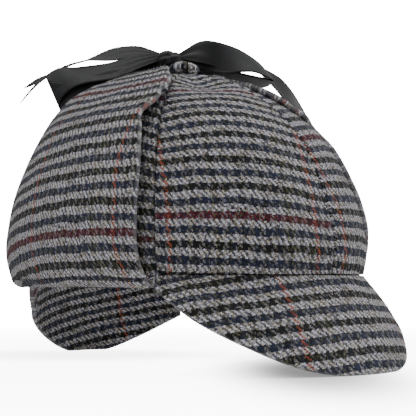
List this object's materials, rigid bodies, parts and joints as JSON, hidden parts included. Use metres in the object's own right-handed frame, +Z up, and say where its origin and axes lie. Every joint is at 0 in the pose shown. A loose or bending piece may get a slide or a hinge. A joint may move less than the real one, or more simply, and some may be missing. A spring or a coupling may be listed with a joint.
{
  "type": "deerstalker hat",
  "caption": "Tweed deerstalker hat with a gored crown, a peak in front and behind, and ear flaps folded up and tied in a ribbon bow on top.",
  "frame": {"origin": "middle of the hat's outline on the surface that it stands on", "axes": "+Z up; the front peak faces -Y, the wearer's left is +X"},
  "size_m": [0.1874, 0.243, 0.1852],
  "materials": {
    "tweed": "matte wool tweed, grey ground checked in navy, black-green, wine red and rust",
    "ribbon": "black satin-backed ribbon, soft sheen"
  },
  "bodies": {
    "root": {"crown_gore_front_left": "tweed", "crown_gore_side_left": "tweed", "crown_gore_back_left": "tweed", "crown_gore_back_right": "tweed", "crown_gore_side_right": "tweed", "crown_gore_front_right": "tweed", "top_button": "tweed", "front_peak": "tweed", "back_peak": "tweed", "ear_flap_left": "tweed", "ear_flap_right": "tweed", "bow_knot": "ribbon", "flap_tie_left": "ribbon", "flap_tie_right": "ribbon", "bow_loop_front": "ribbon", "bow_loop_back": "ribbon", "bow_tail_front": "ribbon", "bow_tail_back": "ribbon"}
  },
  "joints": []
}
